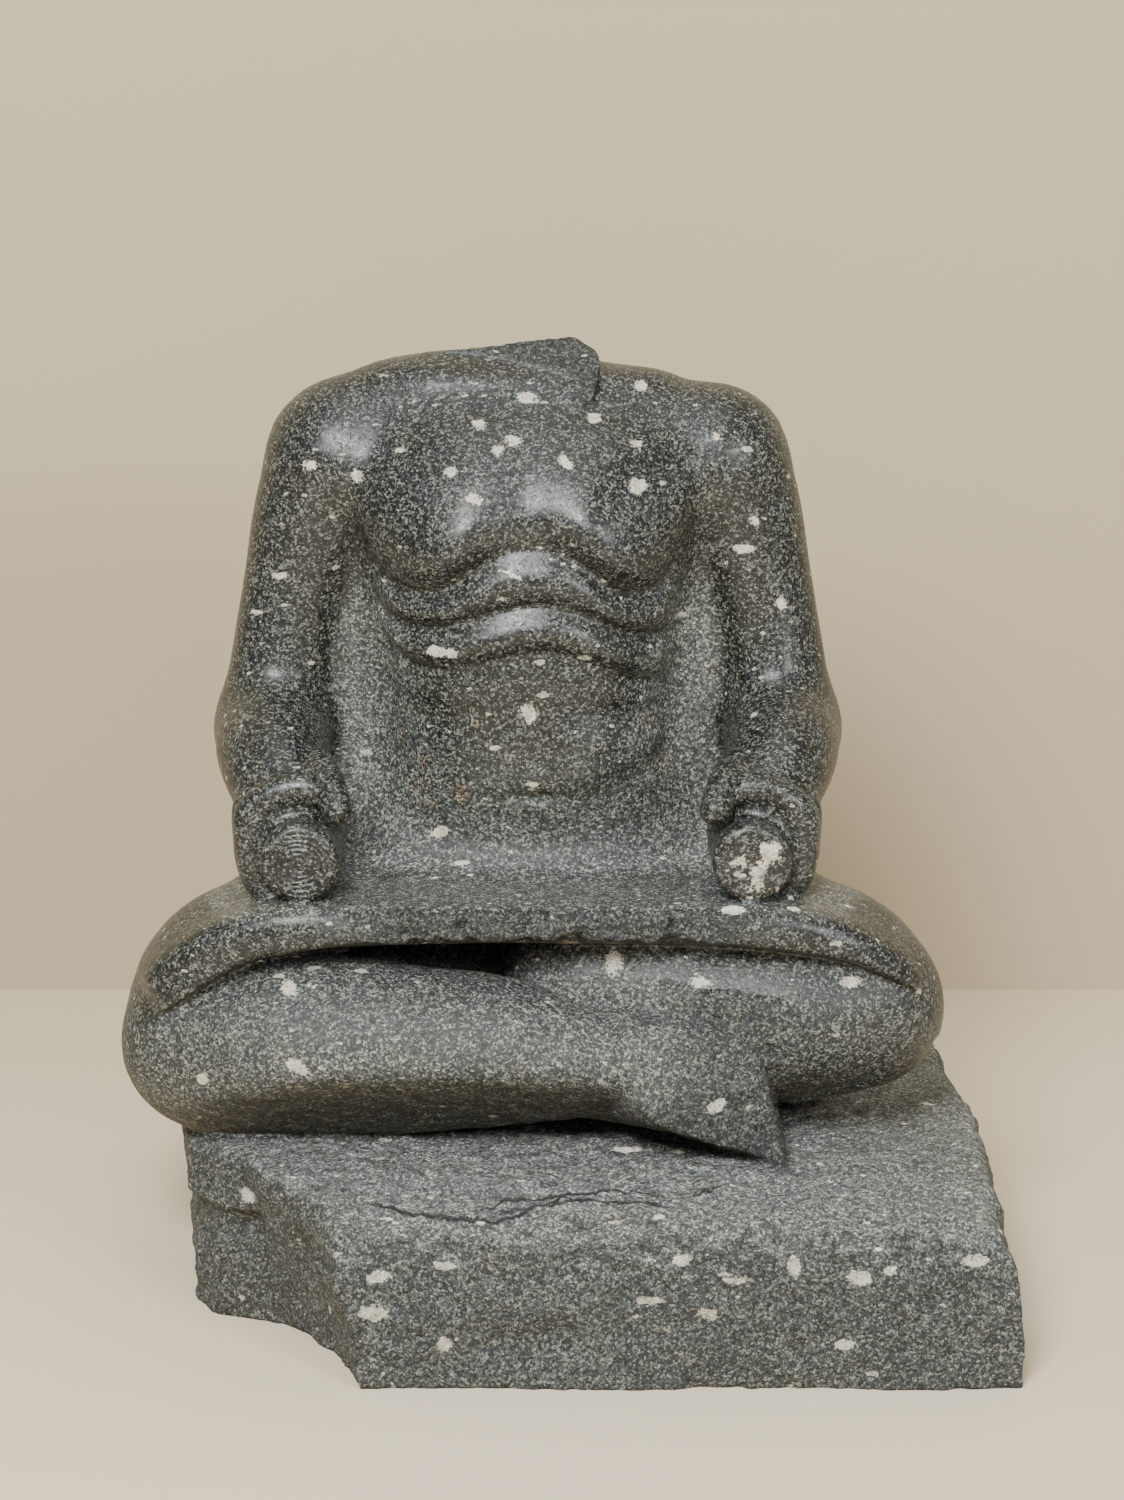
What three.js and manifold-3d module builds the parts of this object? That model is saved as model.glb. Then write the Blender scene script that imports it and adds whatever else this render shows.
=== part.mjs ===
// Seated scribe, carved with its plinth from one block of granodiorite. The head is lost.
// He sits cross-legged in a kilt stretched from knee to knee, with a papyrus roll in each fist.
// Millimetres, +Z up, the figure faces -Y. The origin is on the flat underside, on the figure's axis.
import * as THREE from "three";
import Module from "manifold-3d";

// Driving sizes
const FIGURE_HEIGHT = 830; // from the plinth's top to the highest point of the broken neck
const PLINTH_HEIGHT = 170;
const PLINTH_FRONT = 385; // from the figure's axis to the foot of each side
const PLINTH_BACK = 378;
const PLINTH_RIGHT = 489;
const PLINTH_LEFT = 400; // a broken side, at the back
const PLINTH_BATTER = 34; // how far each side leans in from its foot to the top
const ROLL_DIAMETER = 82; // the papyrus rolls
const ROLL_LENGTH = 150;
const KILT_EDGE = 40; // thickness of the kilt's front edge between the knees

// How finely the block is cut
const CELL = 8; // spacing of the sampling lattice
const FACES = 9600; // triangles left after thinning

// The figure is described at this height, standing on z = 0, and scaled to FIGURE_HEIGHT
const STUDY_HEIGHT = 830;
const SCALE = FIGURE_HEIGHT / STUDY_HEIGHT;
const AXIS_X = -6; // the body leans this far from the middle of the plinth

const { abs, max, min, sqrt, hypot, exp, sin } = Math;
const clamp = THREE.MathUtils.clamp;
const step = THREE.MathUtils.smoothstep;

// A field is a function (x, y, z) that is negative inside the stone.

/** The smooth minimum of two distances, rounded over k. */
function melt(a, b, k) {
  const h = max(k - abs(a - b), 0) / k;
  return min(a, b) - (h * h * k) / 4;
}

function blend(k, ...fields) {
  return (x, y, z) => fields.reduce((d, field) => melt(d, field(x, y, z), k), 1e3);
}

function carve(k, body, tool) {
  return (x, y, z) => -melt(-body(x, y, z), tool(x, y, z), k);
}

/** The part common to several fields, its edges rounded over k. */
function common(k, ...fields) {
  return (x, y, z) => -fields.reduce((d, field) => melt(d, -field(x, y, z), k), 1e3);
}

/** An ellipsoid. Its lower half may be shallower than its upper half. */
function ellipsoid([cx, cy, cz], [rx, ry, rz], below = rz) {
  const least = min(rx, ry, rz, below);
  return (x, y, z) => {
    const u = (x - cx) / rx, v = (y - cy) / ry, w = (z - cz) / (z < cz ? below : rz);
    return (sqrt(u * u + v * v + w * w) - 1) * least;
  };
}

/** The space behind a plane through a point, with the normal outwards. */
function plane([px, py, pz], [a, b, c]) {
  const length = hypot(a, b, c);
  return (x, y, z) => ((x - px) * a + (y - py) * b + (z - pz) * c) / length;
}

function box([x0, y0, z0], [x1, y1, z1], round = 0) {
  const c = [(x0 + x1) / 2, (y0 + y1) / 2, (z0 + z1) / 2];
  const h = [(x1 - x0) / 2 - round, (y1 - y0) / 2 - round, (z1 - z0) / 2 - round];
  return (x, y, z) => {
    const a = abs(x - c[0]) - h[0], b = abs(y - c[1]) - h[1], d = abs(z - c[2]) - h[2];
    const out = sqrt(max(a, 0) ** 2 + max(b, 0) ** 2 + max(d, 0) ** 2);
    return out + min(max(a, b, d), 0) - round;
  };
}

/** A point of the smooth curve through four stations, between the second and the third. */
function bend([a, b, c, d], t) {
  return b + 0.5 * t * (c - a + t * (2 * a - 5 * b + 4 * c - d + t * (3 * (b - c) + d - a)));
}

/** A round limb along a smooth curve through stations [x, y, z, radius]. */
function limb(...stations) {
  const STEPS = 3; // straight bones between two stations
  const station = (i) => stations[clamp(i, 0, stations.length - 1)];
  const joints = [];
  for (let i = 0; i < stations.length - 1; i++)
    for (let s = 0; s < STEPS; s++)
      joints.push([0, 1, 2, 3].map((c) => bend([i - 1, i, i + 1, i + 2].map((j) => station(j)[c]), s / STEPS)));
  joints.push(stations.at(-1));
  return (x, y, z) => {
    let d = 1e3;
    for (let i = 1; i < joints.length; i++) {
      const a = joints[i - 1], b = joints[i];
      const ux = b[0] - a[0], uy = b[1] - a[1], uz = b[2] - a[2];
      const px = x - a[0], py = y - a[1], pz = z - a[2];
      const t = clamp((px * ux + py * uy + pz * uz) / (ux * ux + uy * uy + uz * uz), 0, 1);
      const dx = px - t * ux, dy = py - t * uy, dz = pz - t * uz;
      d = min(d, sqrt(dx * dx + dy * dy + dz * dz) - a[3] - (b[3] - a[3]) * t);
    }
    return d;
  };
}

/** A cylinder along Y with rounded ends. */
function drum([cx, y0, cz], radius, length, round) {
  return (x, y, z) => {
    const out = hypot(x - cx, z - cz) - radius + round, along = abs(y - y0 - length / 2) - length / 2 + round;
    return hypot(max(out, 0), max(along, 0)) + min(max(out, along), 0) - round;
  };
}

/** Smooth curves through rows [at, value, ...], as functions of the first column. */
function curves(rows) {
  const low = rows[0][0], high = rows.at(-1)[0], samples = 120;
  return rows[0].slice(1).map((_, column) => {
    const value = (i) => rows[clamp(i, 0, rows.length - 1)][column + 1];
    const table = Array.from({ length: samples + 1 }, (_, s) => {
      const at = low + ((high - low) * s) / samples;
      let i = 0;
      while (i < rows.length - 2 && at > rows[i + 1][0]) i++;
      return bend([i - 1, i, i + 1, i + 2].map(value), (at - rows[i][0]) / (rows[i + 1][0] - rows[i][0]));
    });
    return (at) => {
      const s = clamp(((at - low) / (high - low)) * samples, 0, samples - 1e-6), i = s | 0;
      return table[i] + (table[i + 1] - table[i]) * (s - i);
    };
  });
}

const mirror = (field) => (x, y, z) => field(2 * AXIS_X - x, y, z);

// The trunk: horizontal sections [height, half width, front, back]
const [trunkWidth, trunkFront, trunkBack] = curves([
  [-20, 205, -10, 325],
  [100, 215, 0, 335],
  [200, 205, 5, 325],
  [270, 185, -2, 300],
  [330, 166, -26, 278],
  [400, 155, -34, 262],
  [480, 156, -38, 255],
  [560, 172, -42, 256],
  [640, 196, -42, 258],
  [690, 203, -26, 250],
  [730, 188, 2, 232],
  [775, 140, 50, 200],
]);
const TRUNK_TOP = 780;

// The lower edge of the breast and the creases of the fat rolls: [across, height]
const [breastLine, firstCrease, secondCrease, thirdCrease] = curves([
  [-200, 636, 575, 545, 490],
  [-160, 583, 543, 511, 461],
  [-130, 569, 532, 490, 443],
  [-95, 572, 532, 486, 438],
  [-60, 594, 543, 493, 442],
  [-25, 614, 553, 502, 446],
  [0, 617, 557, 506, 447],
  [25, 615, 555, 506, 447],
  [55, 597, 546, 495, 445],
  [85, 573, 531, 483, 440],
  [110, 567, 522, 473, 437],
  [135, 575, 521, 468, 436],
  [165, 620, 530, 474, 442],
  [200, 650, 548, 490, 450],
]);
const BREAST_RELIEF = 32;
const ROLL_RELIEF = 12.5;
const FLANK = [136, 172]; // the folds fade out between these distances from the axis
const NAVEL = [8, 349];

/** A roll of flesh between two creases, 1 at its crest, that hangs over the crease below. */
function flesh(z, low, high) {
  const t = clamp((z - low) / (high - low), 0, 1);
  return 5.38 * t * (1 - t) ** 1.5;
}

const bump = (value, width) => exp(-((value / width) ** 2));

/** How far the front of the trunk stands out at a place. */
function trunkRelief(x, z) {
  const breast = breastLine(x), first = firstCrease(x), second = secondCrease(x), third = thirdCrease(x);
  const side = abs(x - AXIS_X);
  const above = z - breast;
  const rise = 1 - (1 - clamp(above / 58, 0, 1)) ** 2.4;
  const breasts = BREAST_RELIEF * rise * bump(above, 110) * (0.5 + 0.5 * bump(side - 92, 60));
  const rolls = flesh(z, first, breast) + 0.95 * flesh(z, second, first) + 0.25 * flesh(z, third, second);
  const fold = ROLL_RELIEF * rolls * (1 - step(side, ...FLANK)) + breasts * (1 - step(side, 162, 202));
  const belly = NAVEL[1] - 6 + 0.0021 * side ** 2;
  const paunch = 9 * step(z - belly, -14, 26) * (1 - step(z - third, -50, 10)) * (0.35 + 0.65 * step(x, -10, 70));
  const middle = 3 * bump(x - NAVEL[0], 9) * step(z, 362, 390) * (1 - step(z, 430, 470));
  const navel = (9 * bump(x - NAVEL[0], 9) + 4 * bump(x - NAVEL[0], 42)) * bump(z - NAVEL[1] + 1, 6);
  return fold + paunch * (1 - step(side, ...FLANK)) - middle - navel;
}

function trunk(x, y, z) {
  const half = trunkWidth(z), front = trunkFront(z), back = trunkBack(z);
  const middle = front + 0.52 * (back - front);
  const u = abs(x - AXIS_X) / half;
  const depth = y < middle ? middle - front : back - middle;
  const v = abs(y - middle) / depth;
  const d = ((u ** 2.4 + v ** 2.4) ** (1 / 2.4) - 1) * min(half, depth);
  const facing = step(middle - y, 20, 90);
  const relief = facing > 0 ? facing * trunkRelief(x, z) : 0;
  const spine = 8 * bump(x - AXIS_X, 22) * step(y, middle, middle + 60) * step(z, 300, 400);
  return -melt(-(d - relief + spine), TRUNK_TOP - z, 20);
}

// The arms. Each runs from the shoulder to the elbow and forwards to the wrist.
const upperArm = limb(
  [-207, 102, 694, 78], [-236, 98, 635, 66], [-257, 94, 560, 57], [-272, 88, 480, 56], [-281, 80, 405, 61],
);
const foreArm = limb([-281, 80, 402, 61], [-280, 20, 392, 60], [-272, -30, 372, 53], [-258, -66, 350, 44]);
const shoulderLine = [
  [-207, 102, 695, 76], [-188, 104, 716, 69], [-104, 108, 747, 60], [AXIS_X, 110, 750, 57],
  [92, 108, 730, 58], [172, 104, 703, 69], [195, 102, 688, 76],
];
const shoulders = limb(...shoulderLine);
const SHOULDER_TOP = max(...shoulderLine.map(([, , z, radius]) => z + radius));
const shoulderBlade = ellipsoid([-105, 205, 640], [85, 52, 95]);

// The stone left standing between the arm and the side, and between the forearm and the thigh
const web = blend(
  20,
  box([-225, 66, 230], [-120, 215, 640], 16),
  box([-288, -50, 230], [-224, 112, 372], 28),
);

// A papyrus roll in each fist: the fingers close over its outer side, the thumb lies on top
const ROLL_AXIS = [-239, 306]; // across, and height
const ROLL_FRONT = -152;
const roll = drum([ROLL_AXIS[0], ROLL_FRONT, ROLL_AXIS[1]], ROLL_DIAMETER / 2, ROLL_LENGTH, 8);
const palm = ellipsoid([-254, -62, 322], [58, 60, 72]);
const thumb = limb([-226, -56, 386, 20], [-212, -96, 376, 18], [-201, -126, 357, 16]);

/** A finger bent over the roll, round its axis. It starts under the thumb. */
function finger(place, reach, thick) {
  const START = -14;
  return (x, y, z) => {
    const out = ROLL_AXIS[0] - x, up = z - ROLL_AXIS[1];
    const arch = reach + 15 * step(up, 0, 60); // the knuckles stand higher than the finger is wide
    return max(hypot(hypot(out, up) - arch, y - place) - thick, START - out);
  };
}

// The kilt, drawn tight from knee to knee: its upper surface by distance from the middle
const [lapTop] = curves([
  [0, 263], [150, 264], [250, 263], [300, 254], [345, 236], [390, 206], [420, 170], [446, 130],
]);
const LAP_FRONT = -178;
const KNEE_LINE = -20; // behind this line the thighs draw together towards the hips
const KNEES = 441; // from the middle to the outermost point of each knee

function lap(x, y, z) {
  const reach = max(KNEE_LINE - y, 0) / (KNEE_LINE - LAP_FRONT);
  const wide = abs(x) / (KNEES - 0.9 * max(y - KNEE_LINE, 0));
  const plan = ((wide ** 4 + reach ** 4) ** 0.25 - 1) * 170;
  const down = (z - lapTop(wide * KNEES)) * 0.8;
  const floor = 40 + 130 * step(wide, 0.63, 0.97);
  return -melt(melt(-plan, -down, 24), min(z - floor, 150 - y), 24);
}

const leftKnee = ellipsoid([-298, -48, 92], [139, 142, 164], 110);
const rightKnee = ellipsoid([290, -48, 115], [147, 142, 142], 80);
const thigh = limb([-130, 150, 134, 124], [-285, -20, 130, 118]);
const hips = ellipsoid([AXIS_X, 95, 250], [235, 105, 130]);
const buttock = ellipsoid([-105, 185, 105], [165, 140, 135]);

// The kilt's lower edge in front, for an edge 40 thick: [across, height]
const [hem] = curves([
  [-445, 30], [-432, 84], [-410, 135], [-384, 155], [-328, 190], [-286, 212], [-198, 226], [0, 230],
  [213, 226], [326, 210], [395, 180], [421, 145], [437, 110], [445, 60],
]);
const KILT_WALL = -104; // how deep the opening under the hem goes between the knees

function kiltOpening(x, y, z) {
  const ceiling = hem(x) + 40 - KILT_EDGE - 0.3 * (y - LAP_FRONT);
  const wall = KILT_WALL - 30 * step(abs(x), 190, 330) + 70 * step(abs(x), 370, 440);
  return max((z - ceiling) * 0.7, y - wall);
}
const hollow = ellipsoid([-80, -75, 178], [128, 75, 58]); // the deep dark place under the kilt

// The legs, crossed in front: the left one of the picture lies before the other
const frontLeg = limb(
  [-346, -74, 92, 91], [-270, -108, 98, 98], [-200, -124, 98, 100], [-120, -132, 95, 93],
  [-40, -138, 96, 84], [30, -152, 90, 67], [80, -156, 87, 60], [132, -160, 88, 52],
);
const backLeg = limb(
  [346, -66, 132, 90], [276, -80, 130, 96], [213, -72, 131, 97], [150, -66, 136, 97],
  [110, -66, 141, 87], [76, -64, 149, 78], [52, -62, 155, 70], [30, -60, 158, 62],
);
const undercut = plane([-200, -208, 82], [0, -0.68, -0.73]); // the rough underside of the front leg

// The foot: a flaring wedge, broken off upright at its right end
const foot = common(
  12,
  plane([118, -140, 146], [0.12, 0, 1]),
  plane([231, -183, 110], [0.3, -1, 0.37]),
  plane([237, -150, 110], [1, 0, 0.24]),
  plane([100, -190, 42], [-0.27, -0.3, -0.91]),
  plane([96, -214, 80], [-0.72, -0.66, -0.2]),
  box([92, -260, -30], [300, -42, 200]),
);
// The stone left under the foot and round the seat
const ledge = common(
  9,
  box([180, -235, -30], [262, -50, 24], 6),
  plane([195, -172, 0], [-0.67, -0.74, 0.3]),
  plane([250, -208, 20], [0.1, -0.5, 1]),
);
const seatStone = box([-318, -20, -60], [320, 318, 78], 45);

// The neck: a stump broken along a plane that faces forwards, with a sharp edge on its right
const neck = common(
  5,
  ellipsoid([-6, 98, STUDY_HEIGHT - 68], [104, 84, 90]),
  plane([34, 92, STUDY_HEIGHT - 3], [-0.1, -0.74, 0.65]),
  plane([34, 94, STUDY_HEIGHT - 3], [-0.12, 0.5, 0.86]),
  plane([50, 92, STUDY_HEIGHT - 9], [0.6, 0, 0.8]),
  plane([66, 40, STUDY_HEIGHT - 60], [0.94, 0.1, -0.3]),
);

function figure() {
  const both = (field) => blend(0.1, field, mirror(field));
  const torso = blend(34, trunk, shoulders, hips);
  const sides = blend(26, web, shoulderBlade);
  const upper = blend(36, torso, both(sides));
  const seat = blend(40, thigh, mirror(thigh), buttock, mirror(buttock));
  const cloth = blend(12, lap, common(18, leftKnee, undercut), rightKnee, seat);
  const kilt = carve(10, carve(7, cloth, kiltOpening), hollow);
  const legs = blend(4, blend(26, common(12, frontLeg, undercut), foot), backLeg, ledge);
  const body = blend(52, upper, blend(6, kilt, legs, seatStone));
  const armed = blend(16, body, both(blend(24, upperArm, foreArm)));
  const fingers = blend(6, finger(-104, 54, 17), finger(-74, 57, 18), finger(-46, 56, 18));
  const hand = blend(5, blend(7, palm, fingers, thumb), roll);
  return blend(6, armed, both(hand), neck);
}

// The plinth's outline at its foot and at its top, anticlockwise from the right front corner.
// The left front corner is broken away.
const plinthOutline = [
  [[PLINTH_RIGHT, -PLINTH_FRONT], [PLINTH_RIGHT - 14, PLINTH_BATTER - PLINTH_FRONT]],
  [[PLINTH_RIGHT - 4, -60], [PLINTH_RIGHT - 6, -60]],
  [[PLINTH_RIGHT - 14, PLINTH_BACK], [PLINTH_RIGHT - 28, PLINTH_BACK - PLINTH_BATTER]],
  [[-PLINTH_LEFT, PLINTH_BACK], [16 - PLINTH_LEFT, PLINTH_BACK - PLINTH_BATTER]],
  [[28 - PLINTH_LEFT, 0], [17 - PLINTH_LEFT, -20]],
  [[42 - PLINTH_LEFT, -151], [32 - PLINTH_LEFT, -100]],
  [[67 - PLINTH_LEFT, -185], [60 - PLINTH_LEFT, -140]],
  [[138 - PLINTH_LEFT, -220], [92 - PLINTH_LEFT, -178]],
  [[200 - PLINTH_LEFT, -292], [140 - PLINTH_LEFT, -262]],
  [[231 - PLINTH_LEFT, -PLINTH_FRONT], [182 - PLINTH_LEFT, PLINTH_BATTER - PLINTH_FRONT]],
];

/** The distance from a closed outline given at the foot and at the top, negative inside. */
function outline(corners, rise, x, y) {
  const corner = ([foot, top]) => [foot[0] + (top[0] - foot[0]) * rise, foot[1] + (top[1] - foot[1]) * rise];
  let nearest = 1e9, sign = 1, [ax, ay] = corner(corners.at(-1));
  for (const each of corners) {
    const [bx, by] = corner(each);
    const ex = bx - ax, ey = by - ay, wx = x - ax, wy = y - ay;
    const t = clamp((wx * ex + wy * ey) / (ex * ex + ey * ey), 0, 1);
    nearest = min(nearest, (wx - ex * t) ** 2 + (wy - ey * t) ** 2);
    if ((ay > y) !== (by > y) && x < ((bx - ax) * (y - ay)) / (by - ay) + ax) sign = -sign;
    [ax, ay] = [bx, by];
  }
  return sign * sqrt(nearest);
}

/** Slow swells of rough-dressed stone. */
function swell(x, y, z) {
  return sin(x / 47 + 1.3 * sin(y / 61)) * sin(y / 53 + sin(z / 38)) * sin(z / 44 + 0.7 * sin(x / 59) + 1);
}

function plinth(x, y, z) {
  const rise = clamp(z / PLINTH_HEIGHT, 0, 1);
  const notch = 15 * step(z, 55, 100) * (1 - step(z, 100, 116)) * step(-x, 240, 300) * (1 - step(-y, 180, 240));
  const front = y + PLINTH_FRONT; // how far behind the front's foot
  const dent = 11 * bump(x, 80) * bump(z - 44 - 0.12 * x, 20) * step(-front, -85, -25);
  const side = outline(plinthOutline, rise ** 1.6, x, y) + 5 * swell(x, y, z) + notch + dent;
  const top = z - PLINTH_HEIGHT - 2 * sin(x / 90) + 14 * step(-front, -165, -20);
  return -melt(-side, -top, 26 + 34 * step(-front, -135, -45));
}

const BELOW = 40; // the block is carried down this far, then cut off flat at the ground

/** The whole block, from the figure's own study size to its real place. */
function block() {
  const carved = figure();
  return (x, y, z) => {
    const body = carved(x / SCALE, y / SCALE, (z - PLINTH_HEIGHT) / SCALE) * SCALE;
    return max(melt(body, plinth(x, y, z), 8), -z - BELOW);
  };
}

// Cubes are cut into six tetrahedra round the diagonal from corner 0 to corner 7. Bits 1, 2 and 4 are x, y and z.
const TETRAHEDRA = [[0, 1, 3, 7], [0, 5, 1, 7], [0, 3, 2, 7], [0, 2, 6, 7], [0, 4, 5, 7], [0, 6, 4, 7]];
const FIRST = [[0, 1, 2, 3], [1, 0, 3, 2], [2, 0, 1, 3], [3, 0, 2, 1]]; // even orders with one corner first
const PAIR = { 3: [0, 1, 2, 3], 5: [0, 2, 3, 1], 9: [0, 3, 1, 2], 6: [1, 2, 0, 3], 10: [1, 3, 2, 0], 12: [2, 3, 0, 1] };

/** The surface where a field is zero, as { points, faces }, between two corners. */
function skin(field, low, high, cell) {
  const count = low.map((l, i) => Math.ceil((high[i] - l) / cell) + 1);
  const [nx, ny, nz] = count;
  const values = new Float32Array(nx * ny * nz).fill(NaN);
  const place = (i, axis) => low[axis] + i * cell;
  const nodeValue = (i, j, k) => {
    const n = i + nx * (j + ny * k);
    if (Number.isNaN(values[n])) values[n] = field(place(i, 0), place(j, 1), place(k, 2)) || 1e-6;
    return values[n];
  };
  const points = [], faces = [], known = new Map();
  const cross = (base, from, to, corner) => {
    const [a, b] = from < to ? [from, to] : [to, from];
    const key = (base + (a & 1) + nx * (((a >> 1) & 1) + ny * (a >> 2))) * 8 + (b ^ a);
    if (!known.has(key)) {
      const [p, q] = [corner[a], corner[b]];
      const t = clamp(p[3] / (p[3] - q[3]), 0.02, 0.98);
      known.set(key, points.length);
      points.push([0, 1, 2].map((c) => p[c] + (q[c] - p[c]) * t));
    }
    return known.get(key);
  };
  const march = (i, j, k) => {
    const corner = [];
    for (let c = 0; c < 8; c++) {
      const [a, b, d] = [i + (c & 1), j + ((c >> 1) & 1), k + (c >> 2)];
      corner.push([place(a, 0), place(b, 1), place(d, 2), nodeValue(a, b, d)]);
    }
    const inside = corner.map((c) => c[3] < 0);
    if (inside.every(Boolean) || !inside.some(Boolean)) return;
    const base = i + nx * (j + ny * k);
    for (const tetra of TETRAHEDRA) {
      const mask = tetra.reduce((m, c, bit) => m | (inside[c] << bit), 0);
      if (mask === 0 || mask === 15) continue;
      const at = (a, b) => cross(base, tetra[a], tetra[b], corner);
      if (PAIR[mask]) {
        const [a, b, c, d] = PAIR[mask];
        const quad = [at(a, c), at(a, d), at(b, d), at(b, c)];
        faces.push([quad[0], quad[1], quad[2]], [quad[0], quad[2], quad[3]]);
      } else {
        const lone = mask & (mask - 1) ? [14, 13, 11, 7].indexOf(mask) : [1, 2, 4, 8].indexOf(mask);
        const [a, b, c, d] = FIRST[lone];
        faces.push(mask & (mask - 1) ? [at(a, b), at(a, d), at(a, c)] : [at(a, b), at(a, c), at(a, d)]);
      }
    }
  };
  const BLOCK = 4; // cells to a side of the blocks that are skipped when they lie far from the surface
  const reach = cell * BLOCK * 0.87 * 2.2;
  for (let k = 0; k < nz - 1; k += BLOCK)
    for (let j = 0; j < ny - 1; j += BLOCK)
      for (let i = 0; i < nx - 1; i += BLOCK) {
        const half = (BLOCK / 2) * cell;
        if (abs(field(place(i, 0) + half, place(j, 1) + half, place(k, 2) + half)) > reach) continue;
        for (let c = k; c < min(k + BLOCK, nz - 1); c++)
          for (let b = j; b < min(j + BLOCK, ny - 1); b++)
            for (let a = i; a < min(i + BLOCK, nx - 1); a++) march(a, b, c);
      }
  return { points, faces };
}

/** How closely the thinning keeps to the stone: the folds of the trunk and the fists count most. */
function care(x, y, z) {
  const across = abs(x / SCALE - AXIS_X), deep = y / SCALE, up = (z - PLINTH_HEIGHT) / SCALE;
  const folds = across < 165 && deep < 60 && up > 420 && up < 640;
  const fists = across > 150 && across < 320 && deep < -20 && up > 260 && up < 400;
  return folds || fists ? 4 : 1;
}

/** A heap of numbered items, the cheapest first. */
class Heap {
  cost = [];
  item = [];
  get size() {
    return this.cost.length;
  }
  push(cost, item) {
    let i = this.cost.length;
    while (i > 0) {
      const parent = (i - 1) >> 1;
      if (this.cost[parent] <= cost) break;
      this.cost[i] = this.cost[parent];
      this.item[i] = this.item[parent];
      i = parent;
    }
    this.cost[i] = cost;
    this.item[i] = item;
  }
  pop() {
    const top = this.item[0], cost = this.cost.pop(), item = this.item.pop(), size = this.cost.length;
    if (!size) return top;
    let i = 0;
    for (let child = 1; child < size; child = 2 * i + 1) {
      if (child + 1 < size && this.cost[child + 1] < this.cost[child]) child++;
      if (this.cost[child] >= cost) break;
      this.cost[i] = this.cost[child];
      this.item[i] = this.item[child];
      i = child;
    }
    this.cost[i] = cost;
    this.item[i] = item;
    return top;
  }
}

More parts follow.
